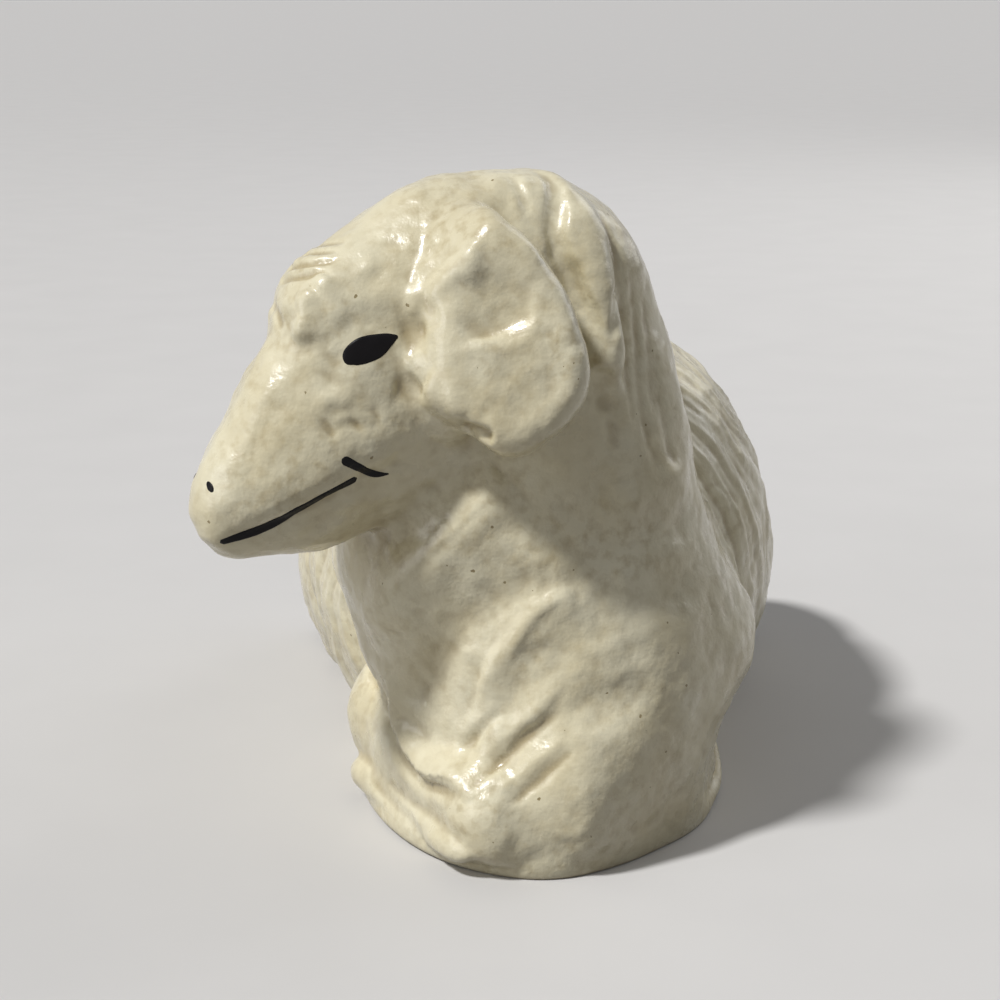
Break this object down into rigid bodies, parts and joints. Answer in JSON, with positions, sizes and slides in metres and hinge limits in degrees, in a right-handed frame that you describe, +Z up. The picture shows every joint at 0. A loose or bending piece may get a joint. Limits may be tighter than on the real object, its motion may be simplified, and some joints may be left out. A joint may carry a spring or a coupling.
{
  "type": "lying lamb figurine",
  "caption": "Small glazed ceramic lamb lying on folded legs, head turned to one side, drooping ears, combed forelock and black painted eyes and mouth, on a flat base.",
  "frame": {"origin": "on the underside of the base, in the middle of the figure", "axes": "+X to the lamb's left, +Y from chest to rump, +Z up; the lamb lies facing -Y and looks towards -X"},
  "size_m": [0.0852, 0.1178, 0.0895],
  "materials": {
    "cream_glaze": "gloss glaze with a soft mottle and pinholes",
    "bare_clay": "glaze thinned at the rim, wiped bare underneath",
    "black_enamel": "fired black enamel"
  },
  "bodies": {
    "root": {"base_plate": "bare_clay", "torso": "cream_glaze", "neck": "cream_glaze", "head": "cream_glaze", "left_ear": "cream_glaze", "right_ear": "cream_glaze", "forelock": "cream_glaze", "left_mane_lock": "cream_glaze", "right_mane_lock": "cream_glaze", "left_foreleg": "cream_glaze", "right_foreleg": "cream_glaze", "left_haunch": "cream_glaze", "right_haunch": "cream_glaze", "left_hind_foot": "cream_glaze", "right_hind_foot": "cream_glaze", "tail": "cream_glaze", "left_eye": "black_enamel", "right_eye": "black_enamel", "left_mouth_line": "black_enamel", "right_mouth_line": "black_enamel", "left_cheek_stroke": "black_enamel", "right_cheek_stroke": "black_enamel", "left_nostril": "black_enamel", "right_nostril": "black_enamel"}
  },
  "joints": []
}
